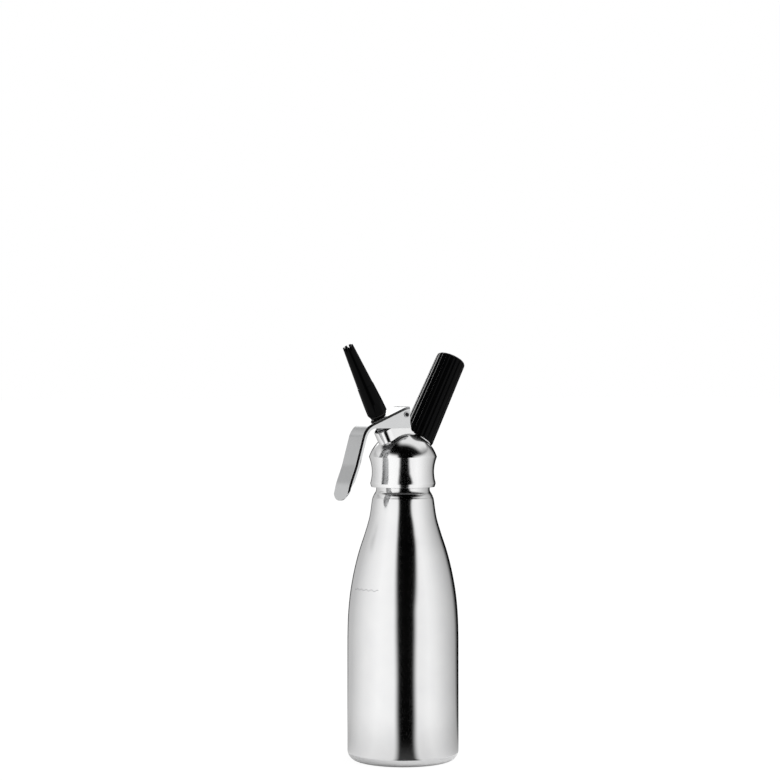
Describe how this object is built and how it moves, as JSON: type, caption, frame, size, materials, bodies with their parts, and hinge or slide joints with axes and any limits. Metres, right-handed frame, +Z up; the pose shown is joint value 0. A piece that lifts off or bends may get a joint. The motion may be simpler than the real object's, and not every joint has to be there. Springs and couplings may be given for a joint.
{
  "type": "cream whipper",
  "caption": "Steel bottle with a screw-on cast head, a squeeze lever over a sprung valve, a decorating nozzle and a ribbed holder for a gas charger.",
  "frame": {"origin": "centre of the bottle's flat base, which it stands on", "axes": "+Z up along the bottle's axis; the lever and the nozzle lean towards -X and the charger holder towards +X; XZ is the plane of symmetry of the fixed head"},
  "size_m": [0.1293, 0.095, 0.3546],
  "materials": {
    "bottle_steel": "fine satin stainless steel",
    "polished_head": "soft polish",
    "lever_steel": "satin sheet steel",
    "turned_steel": "turned stainless steel",
    "spring_steel": "drawn wire",
    "charger_steel": "drawn and plated steel",
    "brass": "turned",
    "black_plastic": "semi gloss moulded",
    "white_plastic": "matte turned",
    "black_rubber": "matte",
    "red_silicone": "satin silicone"
  },
  "bodies": {
    "bottle": {"bottle_shell": "bottle_steel"},
    "head_seal": {"head_gasket": "red_silicone"},
    "head": {"head_casting": "polished_head", "lever_pin": "turned_steel", "valve_guide_bush": "white_plastic", "guide_o_ring": "black_rubber", "spring_seat": "turned_steel", "valve_spring": "spring_steel", "inlet_valve_body": "brass", "inlet_nut": "brass", "check_valve_sleeve": "red_silicone", "piercing_pin": "turned_steel", "neck_seal": "black_rubber"},
    "lever": {"lever": "lever_steel"},
    "valve": {"valve_stem": "turned_steel", "stem_seal": "red_silicone", "stem_nut": "turned_steel", "spring_collar": "turned_steel", "nozzle_adapter": "black_plastic"},
    "washer": {"nozzle_washer": "black_rubber"},
    "nozzle": {"decorator_nozzle": "black_plastic"},
    "charger": {"gas_charger": "charger_steel"},
    "holder": {"charger_holder": "black_plastic", "holder_thread_liner": "turned_steel", "holder_end_pad": "black_rubber"}
  },
  "joints": [
    {"name": "head_lift", "type": "slide", "parent": "bottle", "child": "head_seal", "axis": [0, 0, 1], "range_m": [0, 0.008]},
    {"name": "head_turn", "type": "hinge", "parent": "head_seal", "child": "head", "pos_m": [0, 0, 0.2546], "axis": [0, 0, 1], "range_deg": [0, 720]},
    {"name": "lever_squeeze", "type": "hinge", "parent": "head", "child": "lever", "pos_m": [-0.0043, 0, 0.295], "axis": [0, -1, 0], "range_deg": [0, 10], "stiffness_Nm_per_rad": 1.1, "springref_deg": -11.46},
    {"name": "valve_travel", "type": "slide", "parent": "head", "child": "valve", "axis": [0.4772, 0, -0.8788], "range_m": [0, 0.0034], "deforming": ["valve_spring"]},
    {"name": "washer_lift", "type": "slide", "parent": "valve", "child": "washer", "axis": [-0.4772, 0, 0.8788], "range_m": [0, 0.0045]},
    {"name": "nozzle_turn", "type": "hinge", "parent": "washer", "child": "nozzle", "pos_m": [0, 0, 0.2465], "axis": [-0.4772, 0, 0.8788], "range_deg": [0, 1080]},
    {"name": "charger_lift", "type": "slide", "parent": "head", "child": "charger", "axis": [0.4772, 0, 0.8788], "range_m": [0, 0.0075]},
    {"name": "holder_turn", "type": "hinge", "parent": "charger", "child": "holder", "pos_m": [0, 0, 0.2465], "axis": [0.4772, 0, 0.8788], "range_deg": [0, 1080]}
  ],
  "couplings": [
    {"joint": "head_lift", "follows": "head_turn", "m_per_rad": 0.0006366},
    {"joint": "valve_travel", "follows": "lever_squeeze", "m_per_rad": 0.01935},
    {"joint": "washer_lift", "follows": "nozzle_turn", "m_per_rad": 0.0002387},
    {"joint": "charger_lift", "follows": "holder_turn", "m_per_rad": 0.0003978}
  ]
}
